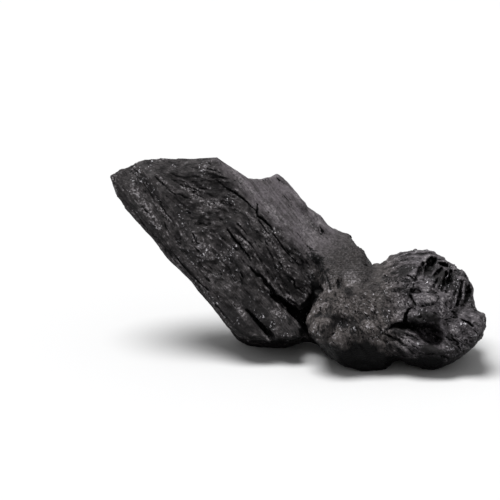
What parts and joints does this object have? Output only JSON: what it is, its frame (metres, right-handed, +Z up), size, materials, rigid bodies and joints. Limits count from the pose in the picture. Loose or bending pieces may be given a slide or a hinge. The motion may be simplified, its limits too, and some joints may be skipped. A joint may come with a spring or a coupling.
{
  "type": "charcoal lump",
  "caption": "Lump of hardwood charcoal: a leaning split billet with a cracked grain face that runs out into a gnarled root knot.",
  "frame": {"origin": "under the middle of the lump in plan, on the surface that it rests on", "axes": "+X towards the root knot, +Y away from the split face, +Z up"},
  "size_m": [0.185, 0.0946, 0.0963],
  "materials": {
    "charcoal": "matt, with a satin sheen along the grain"
  },
  "bodies": {
    "root": {"charcoal_lump": "charcoal"}
  },
  "joints": []
}
